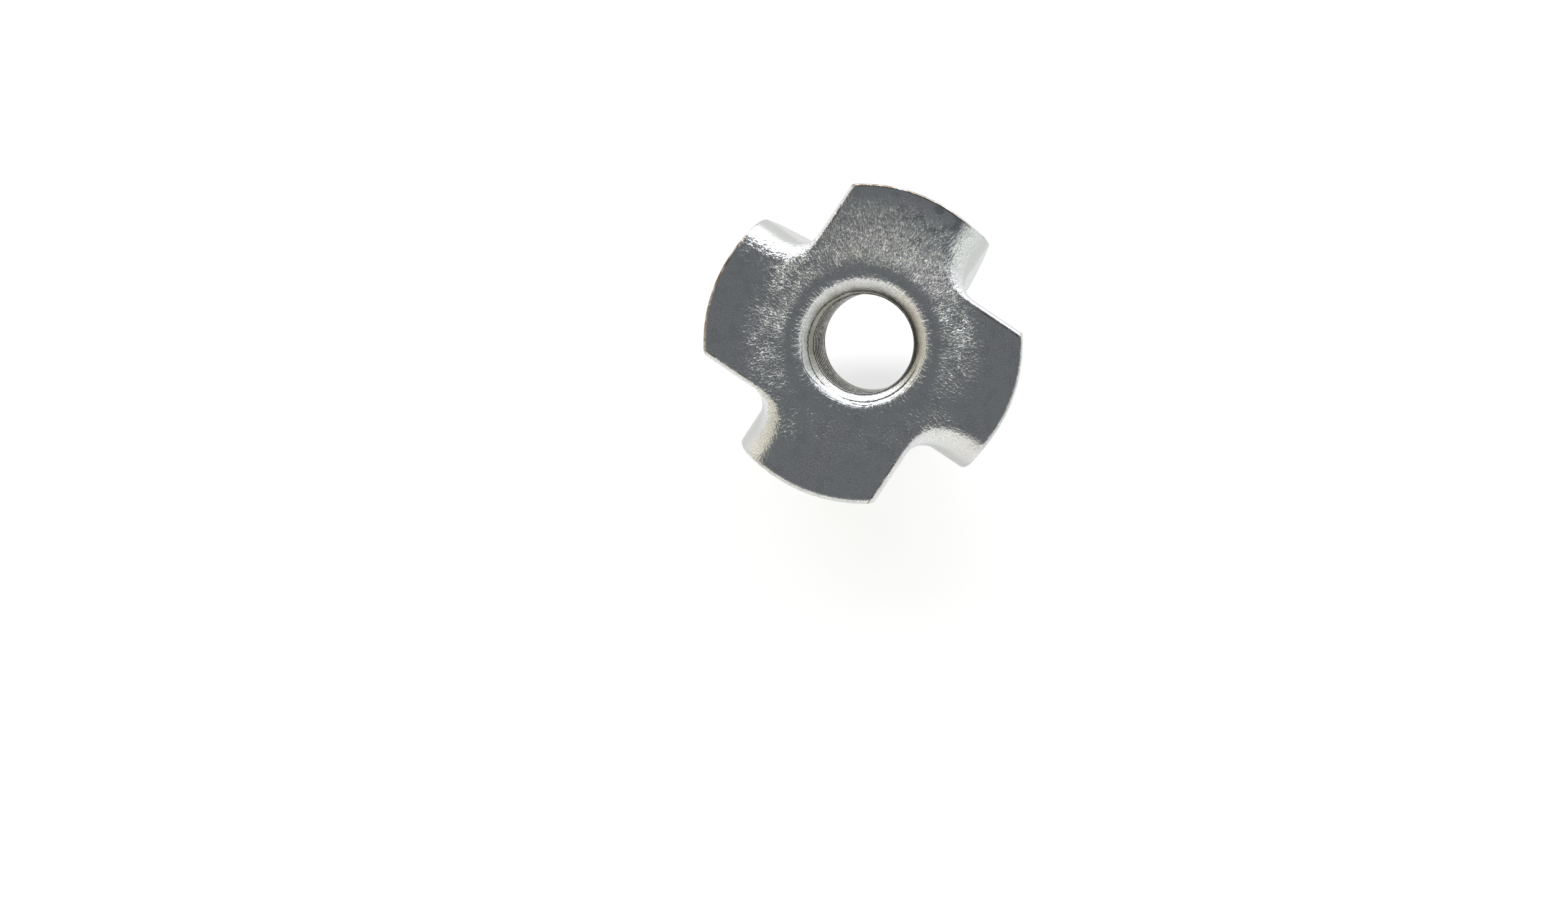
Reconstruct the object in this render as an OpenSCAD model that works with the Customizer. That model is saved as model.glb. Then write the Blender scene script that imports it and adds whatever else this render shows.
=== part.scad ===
// Four-prong tee nut, pressed and drawn from one disc of sheet steel.
// The barrel is drawn out of the middle of the disc and threaded inside. The rim is sheared in four
// places, and the flap beside each shear is folded down into a prong, which leaves a pinwheel of
// four lobes. All lengths are in millimetres.
// +Z runs along the barrel's axis, out of the flange's open face. The origin is on the axis, in the
// plane of the flange's underside, which seats on the wood. The lobe along +X has its straight side
// at +Y and its prong on the -Y side.

/* [Flange] */
// Diameter across the rounded rims of the lobes
flange_d = 22; // [21:0.5:24]
// Thickness of the sheet
sheet_t = 1.5; // [1.3:0.1:1.6]
// Distance from the axis to the straight, sheared side of each lobe
lobe_side = 6.7; // [6.5:0.1:7]
// Rounding that the press leaves on the rim's upper edge
rim_round = 0.25; // [0.15:0.05:0.4]
// Rounding that the shear leaves on each straight side's upper edge
shear_round = 0.25; // [0.15:0.05:0.3]

/* [Prongs] */
// Distance from the axis to the prong's outer face, where its fold ends
prong_face = 3.4; // [3.2:0.1:3.6]
// Radius inside the fold
fold_r = 1; // [0.8:0.1:1.2]
// Angle that the flap is folded through
fold_deg = 87; // [85:1:90]
// Width left flat at the prong's tip
tip_w = 0.2; // [0.1:0.1:0.5]
// Radius of the notch's inner corner at the underside
notch_r = 1.3; // [1:0.1:1.4]
// Height above the seat at which the notch's upright wall turns into a ramp up to the face
ramp_foot = 0.6; // [0.4:0.1:0.8]

/* [Barrel] */
// Outside diameter of the barrel
barrel_d = 10; // [9.6:0.2:10.6]
// Height of the whole nut
nut_h = 11; // [10:0.5:14]
// Diameter of the bore at the crests of its M8 thread
bore_d = 6.8; // [6.6:0.1:6.9]
// Radius of the drawn mouth where the face turns into the bore
mouth_r = 1.4; // [1.1:0.1:1.4]
// Radius between the flange's underside and the barrel
root_r = 0.6; // [0.4:0.1:0.8]
// Rounding of the barrel's outer edge at its end
end_round = 0.5; // [0.3:0.1:0.6]
// Depth of the countersink at the thread's end
thread_lead = 0.6; // [0.4:0.1:0.7]

/* [Hidden] */
$fn = 96;
EPS = 0.05;
// The blade's faces lie this far inside the fold's, so that each meets the fold at a clean edge
BLADE_STEP = 0.01;
LOBES = 4;

flange_r = flange_d / 2;
barrel_r = barrel_d / 2;
bore_r = bore_d / 2;
barrel_l = nut_h - sheet_t;
fold_out_r = fold_r + sheet_t;
// The fold turns about a line parallel to X, at this Y and Z
fold_y = -(prong_face - fold_out_r);
fold_z = -fold_r;
// Length of the flap beyond its fold, where the disc's rim meets the shear
flap_rim_y = sqrt(pow(flange_r, 2) - pow(lobe_side + tip_w, 2));
blade_l = flap_rim_y - prong_face;
// Depth below the flange in which the flap's edge leaves the flange's rim, 1 mm inwards
run_out_h = fold_r + 1.1;
// The ramp at the notch's corner: its circle on the face touches the shear's rounding and the fold
ramp_r = notch_r + sheet_t - shear_round / 2;
ramp_x = lobe_side - shear_round + ramp_r;
ramp_y = fold_y - ramp_r;
// The upright wall below the ramp turns inwards by this angle, so that it runs into the fold
FOOT_TURN = 27;
// The slots that cut the notch's corner are this long, which clears the web
SLOT_REACH = 2.5;
ZINC = [0.62, 0.64, 0.66];

// Places a feature of the lobe along +X on all four lobes
module on_each_lobe() {
    for (i = [0 : LOBES - 1])
        rotate([0, 0, i * 360 / LOBES])
            children();
}

// The disc with its upper edge rounded by the press, from the face down to the given depth
module rim_disc(depth) {
    rotate_extrude()
        union() {
            translate([0, sheet_t - depth])
                square([flange_r - rim_round, depth]);
            translate([0, sheet_t - depth])
                square([flange_r, depth - rim_round]);
            translate([flange_r - rim_round, sheet_t - rim_round])
                circle(r = rim_round);
        }
}

// Everything outside the shear and beyond the fold's start, which the flap leaves open
module notch() {
    translate([lobe_side, -flange_r - 1, -EPS])
        cube([flange_r, flange_r + 1 + fold_y, sheet_t + 2 * EPS]);
}

// The metal that stays in the notch's corner, before the ramp is cut. It stops just above the seat's
// plane, so that the seat ends at the shear, clear of the prong below
module corner_web() {
    translate([lobe_side - EPS, -prong_face - notch_r, EPS])
        cube([ramp_x - lobe_side + 2 * EPS, notch_r + fold_out_r + EPS, sheet_t - EPS]);
}

// A thin disc and a copy of it further on in the direction given, whose hull is a round-ended slot
module slot_ends(centre, turn, z, r) {
    for (reach = [0, SLOT_REACH])
        translate([centre[0] + reach * cos(turn), centre[1] + reach * sin(turn), z])
            cylinder(r = r, h = EPS, $fn = 72);
}

// The notch's rounded corner: an upright wall that turns inwards to run into the fold, and above it
// a ramp that widens up to the face
module corner_ramp() {
    corner = [lobe_side + notch_r, -prong_face - notch_r];
    translate([corner[0], corner[1], -EPS]) {
        cylinder(r = notch_r, h = ramp_foot + 2 * EPS);
        rotate([0, 0, FOOT_TURN])
            translate([0, -notch_r, 0])
                cube([SLOT_REACH, 2 * notch_r, ramp_foot + 2 * EPS]);
    }
    hull() {
        slot_ends([ramp_x, ramp_y], 0, sheet_t, ramp_r);
        slot_ends(corner, FOOT_TURN, ramp_foot, notch_r);
    }
}

// Rounds the upper edge of a lobe's sheared side
module shear_rounding() {
    translate([lobe_side - shear_round, -flange_r, sheet_t - shear_round])
        difference() {
            cube([shear_round + 3 * EPS, flange_r + ramp_y, shear_round + EPS]);
            rotate([-90, 0, 0])
                cylinder(r = shear_round, h = flange_r + ramp_y);
        }
}

// The flat flange with its four open notches
module flange() {
    difference() {
        union() {
            difference() {
                rim_disc(sheet_t);
                on_each_lobe() notch();
            }
            on_each_lobe() corner_web();
        }
        on_each_lobe() {
            corner_ramp();
            shear_rounding();
        }
    }
}

// The flap's fold: the sheet's section turned about the fold line
module fold() {
    translate([lobe_side, fold_y, fold_z])
        rotate([0, 90, 0])
            rotate([0, 0, 180])
                rotate_extrude(angle = fold_deg)
                    translate([fold_r, 0])
                        square([sheet_t, flange_r - lobe_side]);
}

// Places children given flat, as a flap along +Y that starts at the fold line, on the folded blade
module on_blade() {
    translate([0, fold_y, fold_z])
        rotate([fold_deg, 0, 0])
            mirror([0, 1, 0])
                children();
}

// The flat blade beyond the fold, still square at its outer side
module blade() {
    on_blade()
        translate([lobe_side, -EPS, fold_r + BLADE_STEP])
            cube([flange_r - lobe_side, blade_l + EPS, sheet_t - 2 * BLADE_STEP]);
}

// The disc's rim, carried round the fold onto the blade
module flap_rim() {
    on_blade()
        translate([0, -prong_face, -fold_out_r])
            cylinder(r = flange_r, h = 2 * fold_out_r + EPS);
}

// The space above the slope where the flap's edge runs out of the flange's rim into the blade
module fold_run_out() {
    rotate([90, 0, 0])
        linear_extrude(flange_r)
            polygon([
                [0, sheet_t],
                [flange_r, sheet_t],
                [flange_r, 0],
                [flange_r - 1, -run_out_h],
                [0, -run_out_h]
            ]);
}

// One prong: fold and blade, trimmed by the rim that the flap had when it was flat
module prong() {
    intersection() {
        union() {
            fold();
            blade();
        }
        rim_disc(nut_h);
        union() {
            flap_rim();
            fold_run_out();
        }
    }
}

// The drawn barrel, solid, with its root and its rounded end
module barrel() {
    rotate_extrude()
        difference() {
            union() {
                translate([0, -barrel_l + end_round])
                    square([barrel_r, barrel_l - end_round + EPS]);
                translate([0, -barrel_l])
                    square([barrel_r - end_round, barrel_l]);
                translate([barrel_r - end_round, -barrel_l + end_round])
                    circle(r = end_round);
                translate([0, -root_r])
                    square([barrel_r + root_r, root_r + EPS]);
            }
            translate([barrel_r + root_r, -root_r])
                circle(r = root_r);
        }
}

// The bore with its drawn mouth and the countersink at the thread's end
module bore() {
    translate([0, 0, -barrel_l - EPS])
        cylinder(r = bore_r, h = nut_h + 2 * EPS);
    translate([0, 0, -barrel_l - EPS])
        cylinder(r1 = bore_r + thread_lead + EPS, r2 = bore_r, h = thread_lead + EPS);
    rotate_extrude()
        difference() {
            translate([0, sheet_t - mouth_r])
                square([bore_r + mouth_r, mouth_r + EPS]);
            translate([bore_r + mouth_r, sheet_t - mouth_r])
                circle(r = mouth_r);
        }
}

module tee_nut() {
    color(ZINC)
        difference() {
            union() {
                flange();
                barrel();
                on_each_lobe() prong();
            }
            bore();
        }
}

tee_nut();
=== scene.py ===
# %% [markdown]
# # A tee nut from one disc of sheet steel
#
# A tee nut gives wood a metal thread. A press punches a disc out of sheet steel, draws a barrel out of
# its middle, shears the rim in four places and folds the flap beside each shear down into a prong. A tap
# then cuts the thread, and the nut is plated with bright zinc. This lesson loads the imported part, builds
# the nut's surface from a rule with Geometry Nodes, gives it a zinc finish, and lights it in a small
# white studio.

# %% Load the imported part
import math

import bpy
from mathutils import Euler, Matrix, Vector


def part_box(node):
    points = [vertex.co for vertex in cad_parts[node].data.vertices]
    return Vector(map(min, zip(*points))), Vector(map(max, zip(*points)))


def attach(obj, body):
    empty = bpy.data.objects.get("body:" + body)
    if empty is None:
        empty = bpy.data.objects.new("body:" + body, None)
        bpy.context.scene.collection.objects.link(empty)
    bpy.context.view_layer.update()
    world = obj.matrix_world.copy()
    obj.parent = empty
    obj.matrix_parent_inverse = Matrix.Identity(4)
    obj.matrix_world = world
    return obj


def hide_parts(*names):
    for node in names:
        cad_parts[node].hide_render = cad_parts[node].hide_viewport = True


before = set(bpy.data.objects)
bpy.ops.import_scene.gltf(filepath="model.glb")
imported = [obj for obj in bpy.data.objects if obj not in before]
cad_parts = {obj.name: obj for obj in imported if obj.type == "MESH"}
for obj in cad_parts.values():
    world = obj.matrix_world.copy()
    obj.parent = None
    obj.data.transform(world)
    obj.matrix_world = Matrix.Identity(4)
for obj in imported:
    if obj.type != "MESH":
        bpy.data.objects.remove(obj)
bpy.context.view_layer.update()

MM = 0.001
nut_low, nut_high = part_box("tee_nut")
print("CAD box in mm:", [round(v / MM, 2) for v in (*nut_low, *nut_high)])

# %% [markdown]
# ## The sizes
#
# Everything about this nut follows from a few sizes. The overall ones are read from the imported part, so
# the dressed nut can't drift away from it. The others are the press tool's own: where a lobe is sheared,
# where a prong's face ends up, and how far each edge is rounded. Sizes are in millimetres here, because
# that's how a toolmaker thinks of them. The finished mesh is scaled to metres at the end.

# %% Name the sizes
sizes = {
    "Flange radius": (nut_high.x - nut_low.x) / 2 / MM,
    "Sheet thickness": nut_high.z / MM,
    "Barrel length": -nut_low.z / MM,
    "Barrel radius": 5.0,
    "Bore radius": 3.4,
    "Mouth radius": 1.4,
    "Root radius": 0.6,
    "Lobe side": 6.7,
    "Prong face": 3.4,
    "Prong splay": math.radians(3),
    "Fold radius": 2.5,
    "Notch radius": 1.3,
    "Rim rounding": 0.25,
    "Shear rounding": 0.3,
    "Thread pitch": 1.25,
    "Thread depth": 0.6,
}
for name, value in sizes.items():
    print(f"{name:16} {value:6.3f}")

# %% [markdown]
# ## Sums that read like sums
#
# A node tree can do arithmetic at every point in space, but a long sum takes dozens of Math nodes. The
# small class below lets Python's own signs add those nodes, so `a + b * 2` makes two of them, linked. It
# works in a geometry tree and in a material alike, because both use the same Math node.

# %% Write node arithmetic with Python's signs
class Number:
    """A number that a node tree works out at each point."""

    def __init__(self, tree, socket):
        self.tree, self.socket = tree, socket

    def step(self, operation, *others):
        node = self.tree.nodes.new("ShaderNodeMath")
        node.operation = operation
        for place, value in enumerate((self, *others)):
            if isinstance(value, Number):
                self.tree.links.new(value.socket, node.inputs[place])
            else:
                node.inputs[place].default_value = value
        return Number(self.tree, node.outputs[0])

    def __add__(self, other):
        return self.step("ADD", other)

    def __sub__(self, other):
        return self.step("SUBTRACT", other)

    def __mul__(self, other):
        return self.step("MULTIPLY", other)

    def __truediv__(self, other):
        return self.step("DIVIDE", other)

    def __neg__(self):
        return self.step("MULTIPLY", -1.0)

    __radd__, __rmul__ = __add__, __mul__

    def __rsub__(self, other):
        return -self + other

    def __rtruediv__(self, other):
        return self.step("POWER", -1.0) * other


def most(a, b):
    return a.step("MAXIMUM", b)


def least(a, b):
    return a.step("MINIMUM", b)


def held(value, low, high):
    return least(most(value, low), high)


def across(a, b):
    return (a * a + b * b).step("SQRT")


def choose(condition, yes, no):
    """yes where condition is 1, and no where it is 0."""
    return no + (yes - no) * condition


# %% [markdown]
# ## Solid shapes as distances
#
# A solid can be written as a rule: a number at each point in space that is negative inside the metal,
# positive outside, and zero on the surface. Two solids meet in whichever number is larger and join in
# whichever is smaller. The two helpers below do that with a rounded edge, which is what every pressed
# edge has: a round over the outside of a corner, or a fillet down inside it.

# %% Meet and join with a rounded edge
def meet(a, b, radius):
    """Inside both a and b, with their shared edge rounded off."""
    a, b = a + radius, b + radius
    return least(most(a, b), 0.0) + across(most(a, 0.0), most(b, 0.0)) - radius


def join(a, b, radius):
    """Inside either a or b, with a fillet where they meet."""
    return -meet(-a, -b, radius)


# %% [markdown]
# ## The nut's rule
#
# The rule is one node group, so it can be asked for the distance at any point. The four lobes are alike,
# so each point is first turned by quarter turns into one quarter of the nut, the one with the notch
# between two lobes. There the metal is put together as the press made it: a flat sheet inside a rim, a
# notch whose upper edge is barely rounded where it was sheared and rolls over more and more until it is
# the prong's fold, and below it the prong itself. The barrel and its bore are round, and the thread is a
# wave that climbs one pitch in each turn.

# %% Start the group with its named inputs
def add_inputs(group, numbers):
    """One named input for each number, with the number as its default."""
    for name, value in numbers.items():
        socket = group.interface.new_socket(name, in_out="INPUT", socket_type="NodeSocketFloat")
        socket.default_value = value


rule = bpy.data.node_groups.new("Distance to the nut", "GeometryNodeTree")
rule.interface.new_socket("Point", in_out="INPUT", socket_type="NodeSocketVector")
add_inputs(rule, sizes)
rule.interface.new_socket("Distance", in_out="OUTPUT", socket_type="NodeSocketFloat")
rule_in = rule.nodes.new("NodeGroupInput")
rule_out = rule.nodes.new("NodeGroupOutput")
size = {name: Number(rule, rule_in.outputs[name]) for name in sizes}
split = rule.nodes.new("ShaderNodeSeparateXYZ")
rule.links.new(rule_in.outputs["Point"], split.inputs[0])
x, y, z = (Number(rule, socket) for socket in split.outputs)
print("inputs of the rule:", len(rule_in.outputs) - 1)

# %% [markdown]
# Turning every point into one quarter is the same as copying the quarter four times, but the four copies
# then share one surface with no seam. The quarter starts at -75 degrees, which is well inside a lobe, so
# only forms that are round about the axis cross from one quarter into the next.

# %% Turn every point into the quarter that holds one notch and one prong
QUARTER = math.pi / 2
QUARTER_START = math.radians(-75)

radius = across(x, y)
angle = y.step("ARCTAN2", x)
turned = angle - ((angle - QUARTER_START) / QUARTER).step("FLOOR") * QUARTER
qx = radius * turned.step("COSINE")
qy = radius * turned.step("SINE")
print("the quarter runs from", math.degrees(QUARTER_START), "to", math.degrees(QUARTER_START + QUARTER))

# %% [markdown]
# The notch's wall has two straight parts: the lobe's sheared side, and the prong's outer face, which
# stands 3 degrees off upright. They join in a round corner, which keeps the sheet from tearing there.

# %% The notch between two lobes, seen from above
splay_cos, splay_sin = size["Prong splay"].step("COSINE"), size["Prong splay"].step("SINE")
fold_end_z = size["Sheet thickness"] - size["Fold radius"]
fold_y = size["Fold radius"] - size["Prong face"]
beyond_side = qx - size["Lobe side"]
beyond_face = (z - fold_end_z) * splay_sin - (qy + size["Prong face"]) * splay_cos
notch_wall = join(beyond_side, beyond_face, size["Notch radius"])
print("nodes in the rule:", len(rule.nodes))

# %% [markdown]
# How far the upper edge rolls over depends on the way from the notch's round corner: the sheared side has
# hardly any round, the fold has all of it, and the corner blends the two. That is the form that takes
# most skill in the press tool, because the metal there is stretched as the flap folds.

# %% The roll-over that grows from the sheared side into the fold
SHEARED_AT, FOLDED_AT = math.radians(32), math.radians(-82)
HALF_CORNER = math.sqrt(0.5)

from_corner_x = beyond_side - size["Notch radius"]
from_corner_y = qy + size["Prong face"] + size["Notch radius"]
towards_middle = (from_corner_y - from_corner_x) * HALF_CORNER
sideways = -(from_corner_x + from_corner_y) * HALF_CORNER
way_round = sideways.step("ARCTAN2", towards_middle)
share = held((way_round - SHEARED_AT) / (FOLDED_AT - SHEARED_AT), 0.0, 1.0)
smooth_share = share * share * (3.0 - share * 2.0)
roll = size["Shear rounding"] + (size["Fold radius"] - size["Shear rounding"]) * smooth_share
print("nodes in the rule:", len(rule.nodes))

# %% [markdown]
# A prong's outline is the disc's own rim, because the flap was part of the disc before it was folded. So
# each point on the flap is laid flat again, by its way round the fold and then down the blade, and the
# rim is measured there. The rim is not quite the same all round: it is sharpest in one direction from the
# axis and roundest in the opposite one, as when the punch has more room in its die on one side.

# %% The disc's rim, carried round the fold and down the prong
FOLD_TURN = QUARTER - sizes["Prong splay"]

past_fold = beyond_side.step("GREATER_THAN", 0.0) * (fold_y - qy).step("GREATER_THAN", 0.0)
fold_angle = held((fold_y - qy).step("ARCTAN2", z - fold_end_z), 0.0, FOLD_TURN)
down_blade = most((fold_y - qy) * splay_sin - (z - fold_end_z) * splay_cos, 0.0)
flat_y = -fold_y + size["Fold radius"] * fold_angle / FOLD_TURN + down_blade
flat_y = choose(past_fold, flat_y, -qy)
beyond_rim = across(qx, flat_y) - size["Flange radius"]
print("nodes in the rule:", len(rule.nodes))

# %% A rim that is sharper on one side
SHARPEST_AT = math.radians(108)
SHARPEST, ROUNDEST = 0.24, 1.0
NEAR_AXIS = 0.001

to_sharpest = (x * math.cos(SHARPEST_AT) + y * math.sin(SHARPEST_AT)) / most(radius, NEAR_AXIS)
MIDDLE, SWING = (ROUNDEST + SHARPEST) / 2, (ROUNDEST - SHARPEST) / 2
rim_rounding = size["Rim rounding"] * (MIDDLE - to_sharpest * SWING)
print("nodes in the rule:", len(rule.nodes))

# %% [markdown]
# The sheet is now the space below the face, inside the notch's wall and inside the rim. The flap has no
# flat underside: its inner face runs round the fold at the sheet's thickness behind the outer one. The
# lower edges of both have one small rounding, and the flap's sheared side has a slightly larger one.

# %% The sheet: two lobes' edge with its notch, and the prong under one of them
LOWER_EDGE = 0.13
SLIT_EDGE = 0.2
LEAST_INSIDE_FOLD = 0.3

above = z - size["Sheet thickness"]
lobes = meet(meet(above, notch_wall, roll), beyond_rim, rim_rounding)
lobes = meet(lobes, -z, LOWER_EDGE)
inside_fold = most(roll - size["Sheet thickness"], LEAST_INSIDE_FOLD)
behind_blade = beyond_face + size["Sheet thickness"]
under_sheet = meet(z, behind_blade, inside_fold)
flap = meet(meet(above, beyond_face, roll), beyond_rim, rim_rounding)
flap = meet(flap, -under_sheet, LOWER_EDGE)
flap = meet(flap, -beyond_side, SLIT_EDGE)
sheet = least(lobes, flap)
print("nodes in the rule:", len(rule.nodes))

# %% [markdown]
# The barrel is drawn out of the sheet, so it joins it in a fillet below and a wide round mouth above. The
# thread is cut last. Its depth depends only on how far a point is from the nearest crest along the axis,
# and the crest climbs one pitch a turn. Its flanks stand 60 degrees apart, as on any metric thread. The
# tap goes right through, so the thread runs out by itself in the mouth, where the throat grows wider than
# its grooves.

# %% The drawn barrel
END_ROUNDING = 0.5
TOP_BELOW_FACE = 1.0

barrel_end = -z - size["Barrel length"]
barrel = meet(radius - size["Barrel radius"], barrel_end, END_ROUNDING)
barrel = most(barrel, above + TOP_BELOW_FACE)
body = join(sheet, barrel, size["Root radius"])
print("nodes in the rule:", len(rule.nodes))

# %% The mouth, the thread and the countersink at the barrel's end
THREAD_CREST, THREAD_FLANK = 0.2, 0.346
LEAD_IN = 0.6
CREST_EDGE = 0.05
FLANK_SLOPE = 0.87

bore = size["Bore radius"] - radius
body = most(body, meet(above, bore, size["Mouth radius"]))
along_thread = z / size["Thread pitch"] - angle / (2 * math.pi)
from_crest = ((along_thread.step("FRACT") - 0.5) * size["Thread pitch"]).step("ABSOLUTE")
groove = held((from_crest - THREAD_CREST) / THREAD_FLANK, 0.0, 1.0) * size["Thread depth"]
body = meet(body, (bore + groove) * FLANK_SLOPE, CREST_EDGE)
lead_in = (bore + LEAD_IN + (-z - size["Barrel length"])) * HALF_CORNER
body = most(body, lead_in)
rule.links.new(body.socket, rule_out.inputs["Distance"])
print("nodes in the rule:", len(rule.nodes))

# %% [markdown]
# ## From a rule to a mesh
#
# Volume Cube asks the rule at every point of a fine grid, and Volume to Mesh draws a skin through the
# zeros. The skin's points are then a few hundredths of a millimetre off, which bright metal would show as
# ripples. So each point is pulled along the rule's own slope onto the exact surface, twice. The nut could
# be made with Booleans and bevels too, but at the notch's corner, where a sharp shear blends into a round
# fold, the bevel would need a new width at every point.

# %% Ask the rule, and do sums with places
def ask(tree, point, size_sockets):
    """The rule's distance at a point."""
    node = tree.nodes.new("GeometryNodeGroup")
    node.node_tree = rule
    tree.links.new(point, node.inputs["Point"])
    for size_name in sizes:
        tree.links.new(size_sockets[size_name], node.inputs[size_name])
    return node.outputs["Distance"]


def vector_math(tree, operation, first, second):
    node = tree.nodes.new("ShaderNodeVectorMath")
    node.operation = operation
    for place, value in enumerate((first, second)):
        socket = node.inputs["Scale"] if operation == "SCALE" and place else node.inputs[place]
        if isinstance(value, bpy.types.NodeSocket):
            tree.links.new(value, socket)
        else:
            socket.default_value = value
    return node.outputs["Vector"]


print("the rule takes", len(sizes), "sizes")

# %% [markdown]
# The slope is found by asking the rule again a small step away along X, Y and Z. The distance divided by
# the slope's square, along the slope, is how far the point has to go. The square is kept off zero, so
# that no point is thrown far away where the slope vanishes.

# %% Pull points onto the surface
SLOPE_STEP = 0.02
LEAST_SLOPE_SQUARED = 0.05

pull = bpy.data.node_groups.new("Pull onto the surface", "GeometryNodeTree")
pull.interface.new_socket("Geometry", in_out="INPUT", socket_type="NodeSocketGeometry")
add_inputs(pull, sizes)
pull.interface.new_socket("Geometry", in_out="OUTPUT", socket_type="NodeSocketGeometry")
pull_in, pull_out = pull.nodes.new("NodeGroupInput"), pull.nodes.new("NodeGroupOutput")
here = pull.nodes.new("GeometryNodeInputPosition").outputs[0]
distance = Number(pull, ask(pull, here, pull_in.outputs))
slope = pull.nodes.new("ShaderNodeCombineXYZ")
slope_squared = None
for axis in range(3):
    step_along = [SLOPE_STEP if a == axis else 0.0 for a in range(3)]
    ahead = Number(pull, ask(pull, vector_math(pull, "ADD", here, step_along), pull_in.outputs))
    part = (ahead - distance) / SLOPE_STEP
    pull.links.new(part.socket, slope.inputs[axis])
    slope_squared = part * part if slope_squared is None else slope_squared + part * part
how_far = -distance / most(slope_squared, LEAST_SLOPE_SQUARED)
move = vector_math(pull, "SCALE", slope.outputs[0], how_far.socket)
set_place = pull.nodes.new("GeometryNodeSetPosition")
pull.links.new(pull_in.outputs["Geometry"], set_place.inputs["Geometry"])
pull.links.new(move, set_place.inputs["Offset"])
pull.links.new(set_place.outputs[0], pull_out.inputs[0])
print("nodes in the pull:", len(pull.nodes))

# %% [markdown]
# The grid has to be finer than the smallest round edge that should show. At 0.14 mm the thread and the
# rim's edge are clean, and the mesh stays under 200,000 triangles. Volume Cube keeps a density, which is
# 1 inside, 0 outside and a half on the surface. It falls over six grid steps, so the skin is drawn from a
# smooth slope and not from a cliff.

# %% Draw the skin through the grid
GRID_MM = 0.14
FINEST_GRID = 0.05
ON_SURFACE = 0.5
FALL_STEPS = 6.0
MARGIN = 0.5

skin = bpy.data.node_groups.new("Tee nut", "GeometryNodeTree")
skin.interface.new_socket("Geometry", in_out="INPUT", socket_type="NodeSocketGeometry")
add_inputs(skin, {**sizes, "Grid": GRID_MM})
skin.interface.new_socket("Material", in_out="INPUT", socket_type="NodeSocketMaterial")
skin.interface.new_socket("Geometry", in_out="OUTPUT", socket_type="NodeSocketGeometry")
skin_in, skin_out = skin.nodes.new("NodeGroupInput"), skin.nodes.new("NodeGroupOutput")
grid = Number(skin, skin_in.outputs["Grid"])
place = skin.nodes.new("GeometryNodeInputPosition").outputs[0]
distance = Number(skin, ask(skin, place, skin_in.outputs))
density = held(ON_SURFACE - distance / (grid * FALL_STEPS), 0.0, 1.0)
cube = skin.nodes.new("GeometryNodeVolumeCube")
skin.links.new(density.socket, cube.inputs["Density"])
low = [v / MM - MARGIN for v in nut_low]
high = [v / MM + MARGIN for v in nut_high]
cube.inputs["Min"].default_value = low
cube.inputs["Max"].default_value = high
for axis, letter in enumerate("XYZ"):
    count = (high[axis] - low[axis]) / most(grid, FINEST_GRID)
    skin.links.new(count.step("ROUND").socket, cube.inputs["Resolution " + letter])
to_mesh = skin.nodes.new("GeometryNodeVolumeToMesh")
to_mesh.inputs["Threshold"].default_value = ON_SURFACE
skin.links.new(cube.outputs[0], to_mesh.inputs["Volume"])
print("grid:", [round((high[axis] - low[axis]) / GRID_MM) for axis in range(3)])

# %% [markdown]
# The rest of the tree is a chain that the geometry flows through: two pulls, the change from millimetres
# to metres, smooth shading, and the two nodes that every exported tree ends in.

# %% Pull twice, scale to metres and set the material
PULLS = 2

flow = to_mesh.outputs[0]
for _ in range(PULLS):
    pulled = skin.nodes.new("GeometryNodeGroup")
    pulled.node_tree = pull
    skin.links.new(flow, pulled.inputs["Geometry"])
    for name in sizes:
        skin.links.new(skin_in.outputs[name], pulled.inputs[name])
    flow = pulled.outputs[0]
to_metres = skin.nodes.new("GeometryNodeTransform")
to_metres.inputs["Scale"].default_value = (MM, MM, MM)
smooth = skin.nodes.new("GeometryNodeSetShadeSmooth")
realize = skin.nodes.new("GeometryNodeRealizeInstances")
set_material = skin.nodes.new("GeometryNodeSetMaterial")
for node in (to_metres, smooth, realize, set_material):
    skin.links.new(flow, node.inputs[0])
    flow = node.outputs[0]
skin.links.new(skin_in.outputs["Material"], set_material.inputs["Material"])
skin.links.new(flow, skin_out.inputs[0])
print("nodes in the nut's tree:", len(skin.nodes))
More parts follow.
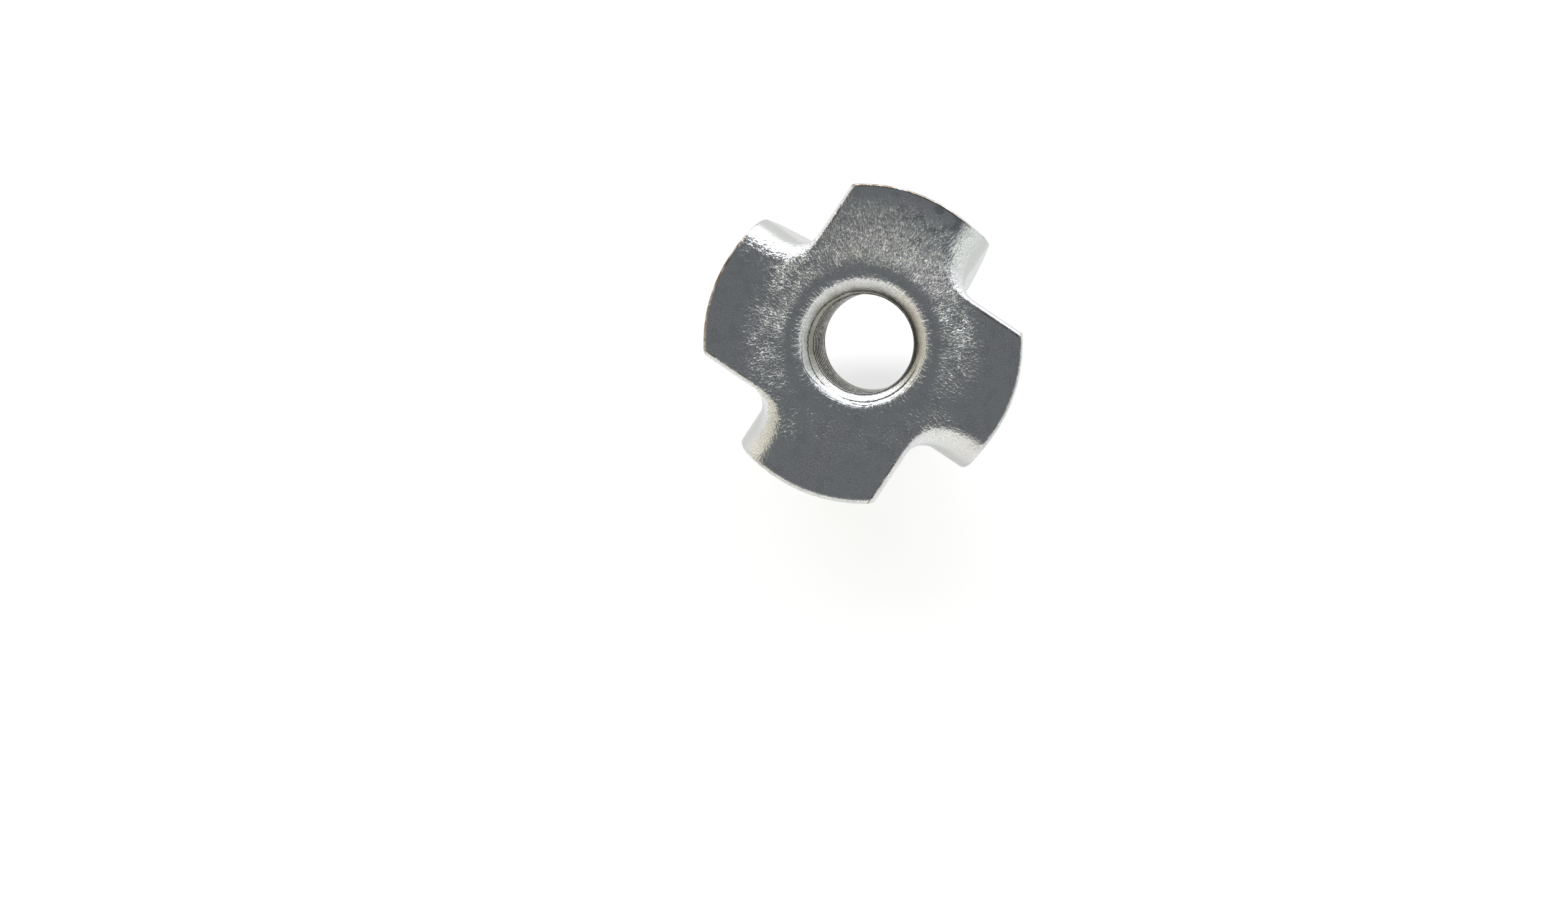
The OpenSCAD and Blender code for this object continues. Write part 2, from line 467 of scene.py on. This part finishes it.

# %% [markdown]
# ## Bright zinc plate
#
# Zinc plate is a thin, bright skin that follows the steel under it, so the finish is mostly a matter of
# that steel. Where the press drew the barrel out of the disc, the face was pulled inwards and its grain
# opened into short radial streaks, which catch the light as sparks. Away from them the sheet is smooth
# and only faintly mottled. Painted sparks would keep their light from every side, so the sparks are made
# of what the metal has: relief, roughness and colour. The colour also carries painted shade under the
# face and in the bore, and a painted dark line on the rim; the studio does the rest.
#
# The streaks come first. Noise has no direction, but the place it is asked at can have one. Here every
# point is moved onto a ring of one size, on which a turn holds the wanted number of streaks, and it goes
# up the ring by its distance from the axis. The sparks, the mouth and the brushed lobe all use this
# with their own values, so it is a group.

# %% A group for streaks that point at the nut's axis
streaks = bpy.data.node_groups.new("Radial streaks", "ShaderNodeTree")
streaks.interface.new_socket("Point", in_out="INPUT", socket_type="NodeSocketVector")
add_inputs(streaks, {"Streaks per turn": 300.0, "Streak length": 0.4, "Shift": 0.0})
streaks.interface.new_socket("Height", in_out="OUTPUT", socket_type="NodeSocketFloat")
streaks_in, streaks_out = streaks.nodes.new("NodeGroupInput"), streaks.nodes.new("NodeGroupOutput")
split = streaks.nodes.new("ShaderNodeSeparateXYZ")
streaks.links.new(streaks_in.outputs["Point"], split.inputs[0])
point_x, point_y, point_z = (Number(streaks, socket) for socket in split.outputs)
per_turn, length, shift = (Number(streaks, streaks_in.outputs[name]) for name in
                           ("Streaks per turn", "Streak length", "Shift"))
out_from_axis = across(point_x, point_y)
widen = per_turn / (2 * math.pi) / most(out_from_axis, NEAR_AXIS)
up_ring = (out_from_axis - point_z) / length + shift
on_ring = streaks.nodes.new("ShaderNodeCombineXYZ")
for place, value in enumerate((point_x * widen, point_y * widen, up_ring)):
    streaks.links.new(value.socket, on_ring.inputs[place])
noise = streaks.nodes.new("ShaderNodeTexNoise")
noise.inputs["Scale"].default_value = 1.0
noise.inputs["Detail"].default_value = 2.0
noise.inputs["Roughness"].default_value = 0.45
streaks.links.new(on_ring.outputs[0], noise.inputs["Vector"])
streaks.links.new(noise.outputs[0], streaks_out.inputs[0])
print("nodes in the streaks:", len(streaks.nodes))

# %% [markdown]
# The material works in the nut's own millimetres, from Object coordinates, so each mark has its real size
# and stays where it is when the nut moves. Zinc is a metal all over, so Metallic is set on the shader.

# %% Start the zinc material, with places on the nut in millimetres
zinc = bpy.data.materials.new("Bright zinc plate")
zinc.use_nodes = True
zinc_tree = zinc.node_tree
zinc_shader = zinc_tree.nodes["Principled BSDF"]
zinc_shader.inputs["Metallic"].default_value = 1.0
object_place = zinc_tree.nodes.new("ShaderNodeTexCoord").outputs["Object"]
place_mm = vector_math(zinc_tree, "SCALE", object_place, 1 / MM)
split = zinc_tree.nodes.new("ShaderNodeSeparateXYZ")
zinc_tree.links.new(place_mm, split.inputs[0])
at_x, at_y, at_z = (Number(zinc_tree, socket) for socket in split.outputs)
from_axis = across(at_x, at_y)
print("zinc starts with", len(zinc_tree.nodes), "nodes")

# %% [markdown]
# A finish is put together from a few kinds of mask, so each kind is a short function: a soft step along
# any number, a band between two such steps, and a patch that lies to one side of the axis. The numbers
# that they are given are millimetres, most often from the axis, and degrees round it.

# %% Soft steps, bands and patches
def ramp(value, start, end):
    """0 before start, 1 after end, and smooth between them."""
    share = held((value - start) / (end - start), 0.0, 1.0)
    return share * share * (3.0 - share * 2.0)


def band(value, rise, top, fall, end):
    """0 before rise, 1 from top to fall, and 0 again after end."""
    return ramp(value, rise, top) * (1.0 - ramp(value, fall, end))


def patch(turn, spread):
    """1 in this direction from the axis, in degrees from +X, and 0 beyond the spread to either side."""
    facing = (at_x * math.cos(math.radians(turn)) + at_y * math.sin(math.radians(turn))) / from_axis
    return ramp(facing, math.cos(math.radians(spread)), 1.0)


print("a patch of 60 degrees starts where the cosine is", round(math.cos(math.radians(60)), 2))

# %% [markdown]
# The irregular part is noise of three kinds: mottling, which has no direction, the radial streaks from
# the group above, and rings, which a turning tool leaves round the axis. A shift moves each use of the
# noise to its own place, so no two of them match, and every run gives the same nut.

# %% Mottling, streaks and rings
def mottle(size_mm, detail=2.0, shift=0.0):
    node = zinc_tree.nodes.new("ShaderNodeTexNoise")
    node.inputs["Scale"].default_value = 1 / size_mm
    node.inputs["Detail"].default_value = detail
    shifted = vector_math(zinc_tree, "ADD", place_mm, (shift, shift, shift))
    zinc_tree.links.new(shifted, node.inputs["Vector"])
    return Number(zinc_tree, node.outputs[0])


def streak(per_turn, length_mm, shift):
    node = zinc_tree.nodes.new("ShaderNodeGroup")
    node.node_tree = streaks
    zinc_tree.links.new(place_mm, node.inputs["Point"])
    node.inputs["Streaks per turn"].default_value = per_turn
    node.inputs["Streak length"].default_value = length_mm
    node.inputs["Shift"].default_value = shift
    return Number(zinc_tree, node.outputs["Height"])


def rings(width_mm):
    """Noise that changes with the distance from the axis, and drifts slowly round a ring."""
    drift = mottle(3.0, detail=1.0, shift=6.0) * 0.6
    node = zinc_tree.nodes.new("ShaderNodeTexNoise")
    node.noise_dimensions = "1D"
    node.inputs["Scale"].default_value = 1.0
    zinc_tree.links.new(((from_axis - at_z + drift) / width_mm).socket, node.inputs["W"])
    return Number(zinc_tree, node.outputs[0])


mouth_mm = sizes["Bore radius"] + sizes["Mouth radius"]
print("streaks per millimetre at the mouth, at 215 a turn:", round(215 / (2 * math.pi * mouth_mm), 1))

# %% [markdown]
# ### Where the metal was worked
#
# The pull that draws the barrel is strongest just outside the mouth and dies out halfway along a lobe. It
# is never even all round, because the disc lies a little off centre in the die: this nut has most of its
# streaks on one lobe, fewer on the next two, and hardly any on the last.

# %% Where the metal was stretched
patchy = ramp(mottle(1.1, shift=5.0), 0.25, 0.7)
stretched = band(from_axis, 4.9, 6.0, 6.8, 9.4)
most_streaked = patch(192, 64) * 0.6
corner_streaked = patch(40, 42) * 0.62
brushed_streaked = patch(104, 52) * 0.5
around = 0.3 + most_streaked + corner_streaked + brushed_streaked
stretch = stretched * (0.4 + patchy * 0.7) * around
print("nodes in the zinc:", len(zinc_tree.nodes))

# %% [markdown]
# Each fold starts at the same place in its quarter of the nut, so the bend's mask is made in one quarter,
# with the same turn that the nut's rule uses. The other masks follow from the way out from the axis, or
# from the height above the seat.

# %% Where it was bent, combed and tapped
quarters_round = (at_y.step("ARCTAN2", at_x) - QUARTER_START) / QUARTER
in_quarter = quarters_round.step("FRACT") * QUARTER + QUARTER_START
along_lobe = from_axis * in_quarter.step("COSINE")
aside = from_axis * in_quarter.step("SINE")
bend_start = ramp(-aside, -0.2, 1.4) * ramp(along_lobe, 6.0, 7.2)
bent = bend_start * (0.4 + patchy * 0.8) * (0.45 + patch(171, 70) * 0.65)

on_mouth = band(from_axis, 3.9, 4.4, 4.8, 5.1)
in_bore = 1.0 - ramp(from_axis, 3.7, 4.5)
face_rings = (1.0 - ramp(from_axis, 5.2, 6.8)) * 0.12
ringed = band(from_axis, 3.2, 3.6, 4.2, 4.6) + face_rings
face_z = sizes["Sheet thickness"]
on_face = ramp(at_z, face_z - 1.2, face_z - 0.4)
rolled = 1.0 - ramp(at_z, face_z - 0.5, face_z - 0.05)
print("nodes in the zinc:", len(zinc_tree.nodes))

# %% [markdown]
# ### Relief
#
# The relief is finer than the mesh, so it is a bump, and every height is in real millimetres: a spark is
# a ridge about 0.03 mm high. Two sizes of streak are cut off at a level, so only their ridges stand up
# out of a smooth face, and their flanks catch the light one by one. One lobe is brushed all over
# instead, as a sheet is where it was scuffed on its way into the press.

# %% Heights: sparks, the mouth's comb, the sheet's grain and the brushed lobe
SPARK_MM, BEND_SPARK_MM, COMB_MM = 0.03, 0.022, 0.065
GRAIN_MM, BEND_GRAIN_MM, TOOL_MARK_MM, BRUSH_MM = 0.011, 0.01, 0.035, 0.065

wide_ridges = most(streak(per_turn=215, length_mm=0.3, shift=0.0) - 0.47, 0.0) * 3.8
fine_ridges = most(streak(per_turn=330, length_mm=0.22, shift=11.0) - 0.45, 0.0) * 2.6
sparks = (wide_ridges + fine_ridges) * (stretch * SPARK_MM + bent * BEND_SPARK_MM)
comb = (streak(per_turn=130, length_mm=0.45, shift=7.0) - 0.5) * on_mouth * COMB_MM
bend_grain = rolled * ramp(at_z, -2.5, 0.0) * BEND_GRAIN_MM
grain = (mottle(0.11, detail=3.0) - 0.5) * (bend_grain + GRAIN_MM)
tool_marks = (rings(0.16) - 0.5) * ringed * TOOL_MARK_MM
hair = streak(per_turn=400, length_mm=0.35, shift=3.0)
brushed = patch(104, 60) * band(from_axis, 5.0, 6.3, 9.2, 11.0)
brush_marks = (hair - 0.5) * brushed * BRUSH_MM
print("nodes in the zinc:", len(zinc_tree.nodes))

# %% Turn the heights into a bump
height_mm = (sparks + comb) * on_face + grain + tool_marks + brush_marks
bump = zinc_tree.nodes.new("ShaderNodeBump")
bump.inputs["Strength"].default_value = 1.0
bump.inputs["Distance"].default_value = MM
zinc_tree.links.new(height_mm.socket, bump.inputs["Height"])
zinc_tree.links.new(bump.outputs[0], zinc_shader.inputs["Normal"])
print("a bump of 1 is", bump.inputs["Distance"].default_value / MM, "mm high")

# %% [markdown]
# ### Roughness
#
# Zinc grows as tiny crystals. Some spots are nearly mirrors and some are satin, a tenth of a millimetre
# apart, which spreads a reflection without hiding it. The brushed lobe and the bore are duller.

# %% Roughness from speckles of a tenth of a millimetre
BRIGHT, SATIN, DULLER = 0.12, 0.29, 0.1

speckle = ramp(mottle(0.1, shift=9.0), 0.38, 0.62)
duller = (brushed * ramp(hair, 0.3, 0.7) + in_bore) * DULLER
roughness = BRIGHT + speckle * (SATIN - BRIGHT) + duller
zinc_tree.links.new(roughness.socket, zinc_shader.inputs["Roughness"])
print("roughness from", BRIGHT, "to", SATIN, "on the face, and up to", SATIN + 2 * DULLER)

# %% [markdown]
# ### Colour
#
# A metal's colour is what it gives back of the light, so it changes the look far less than relief does.
# Zinc is a cool white metal with a faint purple cast where it is thick. Below the face the colour is
# darkened as painted shade, and in the tapped bore it is darker still, as painted shade that is lighter
# towards one side of the bore. Tones are laid over each other one by one, and each has a mask of its own.

# %% A helper that lays one colour over another
def laid_over(base, colour, amount):
    """base where amount is 0, and colour where it is 1."""
    node = zinc_tree.nodes.new("ShaderNodeMix")
    node.data_type = "RGBA"
    for name, value in (("Factor", amount.socket), ("A", base), ("B", colour)):
        socket = next(i for i in node.inputs if i.name == name and i.enabled)
        if isinstance(value, bpy.types.NodeSocket):
            zinc_tree.links.new(value, socket)
        else:
            socket.default_value = (*value, 1)
    return next(o for o in node.outputs if o.enabled)


LIGHT_ZINC, GREY_ZINC = (0.78, 0.80, 0.81), (0.56, 0.57, 0.585)
# The last colour on this line is painted shade for everything below the face.
PURPLE_CAST, SMUDGE, PAINTED_SHADE_ZINC = (0.68, 0.655, 0.70), (0.38, 0.39, 0.42), (0.52, 0.53, 0.515)
# The first colour on this line is painted shade in the bore; the second is brown steel and also colours a
# painted dark line on the rim.
BORE_SHADE_ZINC, BROWN_STEEL_AND_SHADE = (0.25, 0.24, 0.215), (0.2, 0.15, 0.09)
print("light zinc gives back", LIGHT_ZINC, "of red, green and blue")

# %% Tones of the face, and painted shade below the face and in the bore
cast = ramp(mottle(3.2, detail=1.0, shift=4.0), 0.35, 0.7) * 0.6
smudged_lobe = patch(80, 40) * ramp(from_axis, 7.0, 9.0)
spots = ramp(mottle(0.9, detail=3.0, shift=12.0), 0.47, 0.64)
smudge = spots * (1.0 - rolled) * (0.18 + smudged_lobe * 0.65)
# Painted shade: the colour darkens below the face, over the barrel, the prongs and the underside.
painted_shade_below_face = 1.0 - ramp(at_z, 0.3, 1.2)
# Painted shade in the bore, taken off towards one side where the bore is lit.
bore_lit_side = patch(-56, 80) * (0.35 + ramp(at_z, -1.0, 0.4) * 0.5)
painted_bore_shade = in_bore * (0.6 + patchy * 0.4) * (1.0 - bore_lit_side)

zinc_colour = laid_over(LIGHT_ZINC, GREY_ZINC, speckle)
zinc_colour = laid_over(zinc_colour, PURPLE_CAST, cast)
zinc_colour = laid_over(zinc_colour, SMUDGE, smudge)
zinc_colour = laid_over(zinc_colour, PAINTED_SHADE_ZINC, painted_shade_below_face)
zinc_colour = laid_over(zinc_colour, BORE_SHADE_ZINC, painted_bore_shade)
print("nodes in the zinc:", len(zinc_tree.nodes))

# %% [markdown]
# A punched edge is torn steel, and the plate takes badly on it, so it shows brown in broken lines along
# the rim's upper edge, most of all where the rim is sharp, and along the sheared side of each lobe. A
# thin dark line a little inside the rim's edge, in the same colour, is painted shade on the rim's
# rounding. Each line is about a tenth of a millimetre wide, and mottling breaks it up.

# %% Brown steel along the punched and sheared edges, and a painted dark line on the rim
rim_mm = sizes["Flange radius"]
side_mm = sizes["Lobe side"]
upper_edge = ramp(at_z, face_z - 0.32, face_z - 0.1)
on_rim = ramp(from_axis, rim_mm - 0.22, rim_mm - 0.1)
rim_brown = on_rim * (0.1 + patch(160, 115) * 0.9) * ramp(mottle(0.9, shift=2.0), 0.3, 0.55)
# A thin dark line on the rim's rounding, in the brown steel colour, is painted shade.
dark_rim_band = band(from_axis, rim_mm - 0.17, rim_mm - 0.14, rim_mm - 0.09, rim_mm - 0.05)
painted_dark_rim_line = dark_rim_band * ramp(mottle(0.6, shift=8.0), 0.35, 0.5) * (0.2 + patch(108, 125) * 0.8)
shear_band = band(along_lobe, side_mm - 0.37, side_mm - 0.31, side_mm - 0.27, side_mm - 0.22)
shear_line = shear_band * ramp(-aside, 4.9, 5.6) * ramp(mottle(0.7, shift=1.0), 0.35, 0.55)
brown_and_painted_shade = most(rim_brown * upper_edge, painted_dark_rim_line * upper_edge * 0.85)
brown_and_painted_shade = most(brown_and_painted_shade, shear_line * on_face * 0.7)
zinc_colour = laid_over(zinc_colour, BROWN_STEEL_AND_SHADE, brown_and_painted_shade)
zinc_tree.links.new(zinc_colour, zinc_shader.inputs["Base Color"])
print("nodes in the zinc:", len(zinc_tree.nodes))

# %% [markdown]
# ## Growing the mesh
#
# The tree runs on a carrier object. Its inputs are set by their sockets' identifiers before anything is
# evaluated, and the result is kept as a plain mesh, so the carrier and its modifier can go.

# %% Make the mesh
carrier = bpy.data.objects.new("nut_carrier", bpy.data.meshes.new("nut_carrier"))
bpy.context.scene.collection.objects.link(carrier)
modifier = carrier.modifiers.new("Tee nut", "NODES")
modifier.node_group = skin
inputs = {**sizes, "Grid": GRID_MM, "Material": zinc}
for item in skin.interface.items_tree:
    if item.in_out == "INPUT" and item.name in inputs:
        modifier[item.identifier] = inputs[item.name]
depsgraph = bpy.context.evaluated_depsgraph_get()
mesh = bpy.data.meshes.new_from_object(carrier.evaluated_get(depsgraph))
nut = bpy.data.objects.new("tee_nut_body", mesh)
bpy.context.scene.collection.objects.link(nut)
bpy.data.objects.remove(carrier)
print("nut:", len(mesh.vertices), "points,", sum(len(p.vertices) - 2 for p in mesh.polygons), "triangles")

# %% [markdown]
# The nut is one piece of metal, so its one mesh rides on the one body. It stands for the whole CAD solid,
# which stays behind for touch and collision.

# %% Let it ride on the nut's body, and stand for the CAD solid
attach(nut, "root")
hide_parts("tee_nut")
print(nut.name, "rides on root and replaces tee_nut")

# %% [markdown]
# ## The camera
#
# The camera looks almost straight down the thread from about 31 cm, a few degrees off the axis, so that a
# little of the thread shows in the bore. It is turned so that no lobe is level. Its place is counted from
# the nut to the camera's own right, up and back. The first two are negative, so the nut sits right of the
# frame's middle and above it. A long lens keeps the lobes the same size.

# %% Place the camera
TURNS = Euler([math.radians(a) for a in (5.2, -3.0, -34.0)], "XYZ")
LOOK = TURNS.to_matrix().transposed()
RIGHT_UP_BACK_MM = Vector((-5.5075, -8.0959, 309.2))
LENS_MM, SENSOR_MM = 102.9, 36

camera_data = bpy.data.cameras.new("camera")
camera_data.lens = LENS_MM
camera_data.sensor_width = SENSOR_MM
camera_data.clip_start, camera_data.clip_end = 0.01, 10
camera = bpy.data.objects.new("camera", camera_data)
camera.matrix_world = LOOK.to_4x4()
camera.location = LOOK @ RIGHT_UP_BACK_MM * MM
bpy.context.scene.collection.objects.link(camera)
bpy.context.scene.camera = camera
print("camera at", [round(v, 4) for v in camera.location])

# %% [markdown]
# ## The table and the light
#
# Bright metal has hardly any look of its own: it shows the room. Small metal is often set on an opal
# light table, inside a tent of white cloth, with only a dark ceiling straight above, so that flat faces
# turn dark and every bend draws a bright line. The table glows evenly by itself. On top of that, a
# painted pool of light glows under the bore, brighter towards the bore's far side, where little of the
# tent's light gets in, so the ground stays white even through the nut. The tent's light lays the soft
# shadow over that glow. A world and a glowing plane do all of it, with no lamp to leave hard spots.

# %% The table's plane, and which way is far and right on it
FAR = (LOOK @ Vector((0, 1, 0))).to_2d().normalized()
RIGHT = (LOOK @ Vector((1, 0, 0))).to_2d().normalized()
TABLE_HALF = 3.0
GAP = 0.02 * MM

table_z = nut_low.z - GAP
corners = [(x * TABLE_HALF, y * TABLE_HALF, table_z) for x, y in ((-1, -1), (1, -1), (1, 1), (-1, 1))]
table_mesh = bpy.data.meshes.new("floor")
table_mesh.from_pydata(corners, [], [(0, 1, 2, 3)])
table = bpy.data.objects.new("floor", table_mesh)
bpy.context.scene.collection.objects.link(table)
print("the table lies at", round(table_z / MM, 2), "mm, and is", TABLE_HALF * 2, "m wide")

# %% The opal glass, with its glow and a painted pool of light under the bore
OPAL_WHITE, GLOW_WHITE = (0.91, 0.91, 0.95, 1), (1, 1, 1, 1)
OPEN_GLOW, PAINTED_POOL_GLOW, PAINTED_POOL_FAR_GLOW = 0.3, 0.38, 0.35

opal = bpy.data.materials.new("Opal glass")
opal.use_nodes = True
opal_tree = opal.node_tree
opal_shader = opal_tree.nodes["Principled BSDF"]
opal_shader.inputs["Base Color"].default_value = OPAL_WHITE
opal_shader.inputs["Roughness"].default_value = 0.9
opal_shader.inputs["Emission Color"].default_value = GLOW_WHITE
split = opal_tree.nodes.new("ShaderNodeSeparateXYZ")
opal_tree.links.new(opal_tree.nodes.new("ShaderNodeTexCoord").outputs["Object"], split.inputs[0])
table_x, table_y = (Number(opal_tree, socket) / MM for socket in split.outputs[:2])
# Painted pool of light: extra glow under the bore, brighter towards its far side.
painted_pool_under_bore = 1.0 - ramp(across(table_x, table_y), 3.6, 4.6)
pool_towards_far_side = ramp(table_x * FAR.x + table_y * FAR.y, -3.2, 0.5)
glow_and_painted_pool = OPEN_GLOW + painted_pool_under_bore * (PAINTED_POOL_GLOW + pool_towards_far_side * PAINTED_POOL_FAR_GLOW)
opal_tree.links.new(glow_and_painted_pool.socket, opal_shader.inputs["Emission Strength"])
table_mesh.materials.append(opal)
print("nodes in the opal glass:", len(opal_tree.nodes))

# %% [markdown]
# The tent is the world's background, with a brightness for each of its four sides. The far side is the
# key light, the near and right sides are plain cloth, and the left side is warmer, as if a wooden wall
# stood behind it. The sides blend by a high power of the direction, so each holds most of its quarter,
# and the dark ceiling is a soft round patch that leans a little towards the far side.

# %% The tent's four sides
TENT = {"far": (3.1, 3.1, 3.15), "near": (1.1, 1.1, 1.02),
        "right": (0.95, 0.98, 0.93), "left": (0.88, 0.83, 0.68)}
BLEND_POWER = 6.0
FAINTEST = 0.001

world = bpy.data.worlds.new("Studio tent")
bpy.context.scene.world = world
world.use_nodes = True
tent_tree = world.node_tree
split = tent_tree.nodes.new("ShaderNodeSeparateXYZ")
tent_tree.links.new(tent_tree.nodes.new("ShaderNodeTexCoord").outputs["Generated"], split.inputs[0])
sky_x, sky_y, sky_z = (Number(tent_tree, socket) for socket in split.outputs)
to_far = sky_x * FAR.x + sky_y * FAR.y
to_right = sky_x * RIGHT.x + sky_y * RIGHT.y
facing = {"far": to_far, "near": -to_far, "right": to_right, "left": -to_right}
shares = {side: most(amount, FAINTEST).step("POWER", BLEND_POWER) for side, amount in facing.items()}
whole = shares["far"] + shares["near"] + shares["right"] + shares["left"]
print("the tent's sides:", ", ".join(shares))

# %% The dark ceiling, and the tent's light put together
CEILING = (0.15, 0.16, 0.167)
CEILING_TILT = math.radians(13)
CEILING_INNER, CEILING_OUTER = math.radians(28), math.radians(43)

to_ceiling = to_far * math.sin(CEILING_TILT) + sky_z * math.cos(CEILING_TILT)
ceiling = ramp(to_ceiling, math.cos(CEILING_OUTER), math.cos(CEILING_INNER))
sky = tent_tree.nodes.new("ShaderNodeCombineColor")
for channel in range(3):
    sides = sum((share * TENT[side][channel] for side, share in shares.items()), whole * 0.0) / whole
    light = sides + (CEILING[channel] - sides) * ceiling
    tent_tree.links.new(light.socket, sky.inputs[channel])
tent_tree.links.new(sky.outputs[0], tent_tree.nodes["Background"].inputs["Color"])
tent_tree.nodes["Background"].inputs["Strength"].default_value = 1.0
bpy.context.scene.view_settings.view_transform = "Standard"
print("nodes in the tent:", len(tent_tree.nodes))
